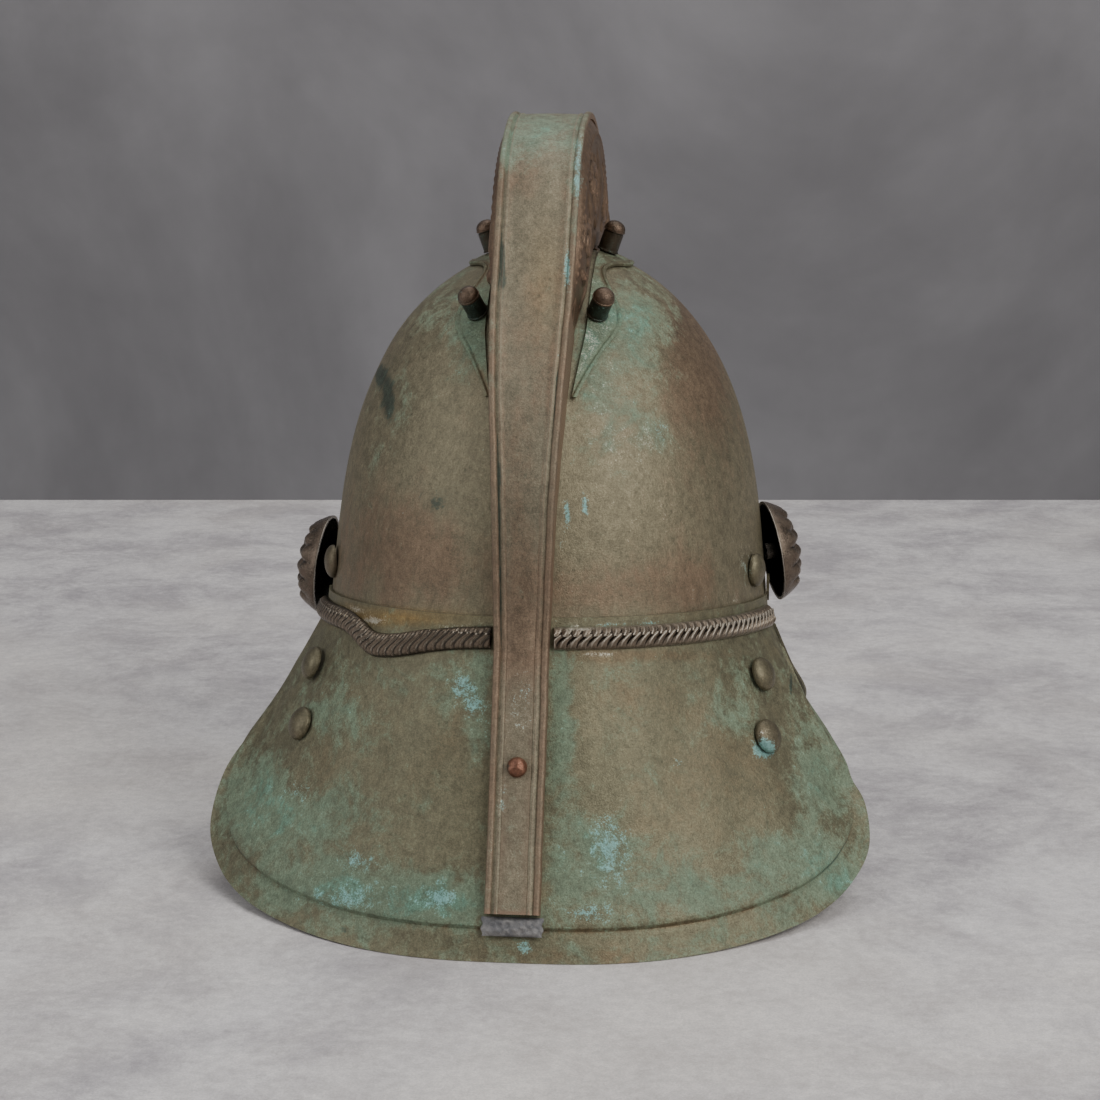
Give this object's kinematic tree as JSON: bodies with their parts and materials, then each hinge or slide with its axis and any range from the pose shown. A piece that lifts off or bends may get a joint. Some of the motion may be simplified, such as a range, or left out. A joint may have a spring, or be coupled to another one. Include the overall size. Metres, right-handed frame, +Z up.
{
  "type": "brass firefighter helmet",
  "caption": "Combed brass fire helmet with a flared neck guard, front peak, rope band and ear rosettes, patinated green and brown.",
  "frame": {"origin": "middle of the footprint, on the surface the helmet stands on", "axes": "+Z up, +Y towards the front peak as the wearer looks, +X to the wearer's right"},
  "size_m": [0.2708, 0.3042, 0.3094],
  "materials": {
    "skull_brass": "aged olive brown with green stains, satin",
    "peak_brass": "verdigris over brown brass, matt",
    "copper_edge": "copper brown, rubbed at the edges",
    "dark_brass": "dark brown with pale residue in the grooves",
    "lead": "dull grey solder"
  },
  "bodies": {
    "root": {"skull": "skull_brass", "rear_peak": "peak_brass", "front_peak": "peak_brass", "comb_ridge": "copper_edge", "comb_left": "copper_edge", "comb_right": "copper_edge", "comb_foot_left": "peak_brass", "comb_foot_right": "peak_brass", "foot_post_left_1": "dark_brass", "foot_post_left_2": "dark_brass", "foot_post_left_3": "dark_brass", "foot_post_right_1": "dark_brass", "foot_post_right_2": "dark_brass", "foot_post_right_3": "dark_brass", "rope_band_rear_left": "dark_brass", "rope_band_rear_right": "dark_brass", "rope_band_front": "dark_brass", "rosette_left": "dark_brass", "rosette_right": "dark_brass", "side_stud_left": "skull_brass", "side_stud_right": "skull_brass", "peak_rivet_left_1": "skull_brass", "peak_rivet_left_2": "skull_brass", "peak_rivet_right_1": "skull_brass", "peak_rivet_right_2": "skull_brass", "strip_rivet": "copper_edge", "solder_patch": "lead", "strap_tongue": "dark_brass"}
  },
  "joints": []
}
